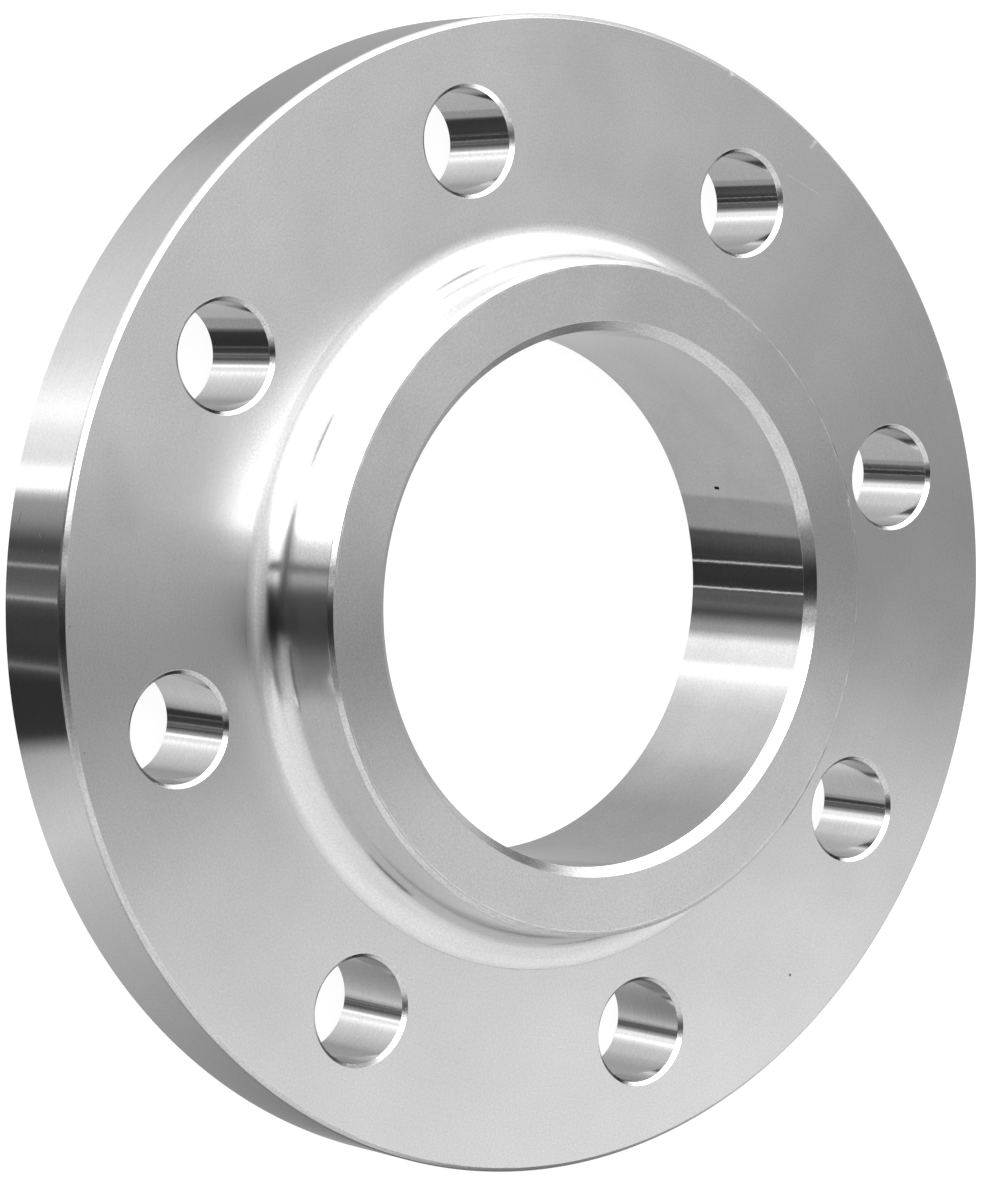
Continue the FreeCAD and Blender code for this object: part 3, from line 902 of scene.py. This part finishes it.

# %% [markdown]
# In the picture the flange was stood on its rim on a pale table, and the walls of its bore and holes show that
# table close by. A far-away world can't do this, because the table's front edge shows at another place in every
# hole. So the table is a glowing sheet beside the rim, which only reflections see: a painted reflection of the
# table. Towards the rim it darkens in a painted shadow, as the ground does under anything that stands on it. It is
# also darker further down, and a strip along its front is a little darker too. Its front edge is softer near the
# rim than further down.
#
# The edge and the strip are slanted lines. A line is written as its y at some depth z, the slant there, and that z.
# The two parts of the front edge meet where they cross. All are in millimetres, as are the pairs of depths between
# which something changes.

# %% Stand the table beside the rim
TABLE_X = 110 * MM
TABLE_FRONT = -230 * MM
TABLE_BACK = 600 * MM
TABLE_LOW = -900 * MM
TABLE_TOP = PLATE_FRONT - RIM_CHAMFER
SHADE_REACH = 150
SHADE_TONES = (0.14, 0.84)
DEEP = (-100, -150)
DEEP_SHADE = 0.7
HIGH_EDGE = (-198.0, -0.93, -133.0)
LOW_EDGE = (-123.0, -0.26, -226.0)
EDGE_DEPTHS = (-160, -200)
EDGE_SOFTNESS = (30, 12)
EDGE_FADE = (-1, 0.67)
STRIP_EDGE = (-62.0, -0.22, -180.0)
STRIP_SOFTNESS = 4
STRIP_DEPTHS = (-155, -163)
STRIP_SHADE = 0.72

table_mesh = bpy.data.meshes.new("table")
table_mesh.from_pydata(
    [(TABLE_X, y, z) for y, z in (
        (TABLE_FRONT, TABLE_LOW), (TABLE_FRONT, TABLE_TOP), (TABLE_BACK, TABLE_TOP), (TABLE_BACK, TABLE_LOW))],
    [], [(0, 1, 2, 3)])
table = bpy.data.objects.new("table", table_mesh)
bpy.context.scene.collection.objects.link(table)
print("table stands at x =", round(TABLE_X / MM, 1), "mm")

# %% Shade the table
painted_table = bpy.data.materials.new("pale_table")
painted_table.use_nodes = True
tree = painted_table.node_tree
place = add_node(tree, "ShaderNodeTexCoord").outputs["Object"]
parts = add_node(tree, "ShaderNodeSeparateXYZ", {0: place})
y_mm = maths(tree, "DIVIDE", parts.outputs["Y"], MM)
z_mm = maths(tree, "DIVIDE", parts.outputs["Z"], MM)
# The table's glow is painted: a painted shadow darkens it towards the rim's foot and further down.
away = maths(tree, "SQRT", maths(tree, "ADD", maths(tree, "POWER", y_mm, 2.0), maths(tree, "POWER", z_mm, 2.0)))
lit = remap(tree, away, 0, SHADE_REACH, *SHADE_TONES)
lit = maths(tree, "MULTIPLY", lit, remap(tree, z_mm, *DEEP, 1, DEEP_SHADE))


def past_line(place, slant, depth):
    """How far y lies past a slanted line: y - place - slant (z - depth), all in millimetres."""
    line = maths(tree, "MULTIPLY_ADD", maths(tree, "SUBTRACT", z_mm, depth), slant, place)
    return maths(tree, "SUBTRACT", y_mm, line)


softness = remap(tree, z_mm, *EDGE_DEPTHS, *EDGE_SOFTNESS)
past_front = maths(tree, "MAXIMUM", past_line(*HIGH_EDGE), past_line(*LOW_EDGE))
inside = remap(tree, maths(tree, "DIVIDE", past_front, softness), *EDGE_FADE, 0, 1, smooth=True)
# A strip along the front of this painted reflection is darker.
strip = remap(tree, past_line(*STRIP_EDGE), -STRIP_SOFTNESS, STRIP_SOFTNESS, 1, 0, smooth=True)
strip = maths(tree, "MULTIPLY", strip, remap(tree, z_mm, *STRIP_DEPTHS, 0, 1))
lit = maths(tree, "MULTIPLY", lit, remap(tree, strip, 0, 1, 1, STRIP_SHADE))
shine = add_node(tree, "ShaderNodeEmission", {"Color": (1, 1, 1, 1), "Strength": lit})
clear = add_node(tree, "ShaderNodeBsdfTransparent")
mixed = add_node(tree, "ShaderNodeMixShader", {0: inside, 1: clear.outputs[0], 2: shine.outputs[0]})
tree.links.new(mixed.outputs[0], tree.nodes["Material Output"].inputs["Surface"])
painted_table.cycles.emission_sampling = "NONE"
table_mesh.materials.append(painted_table)
table.visible_camera = False
table.visible_diffuse = False
table.visible_shadow = False
table.visible_transmission = False
print("table shaded")

# %% [markdown]
# ## Hand over
#
# The skin stands for the CAD solid and rides on the part's one body. The picture keeps the standard view.

# %% Ride and replace
bpy.context.scene.view_settings.view_transform = "Standard"
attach(flange, "root")
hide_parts(NODE)
bpy.context.view_layer.update()
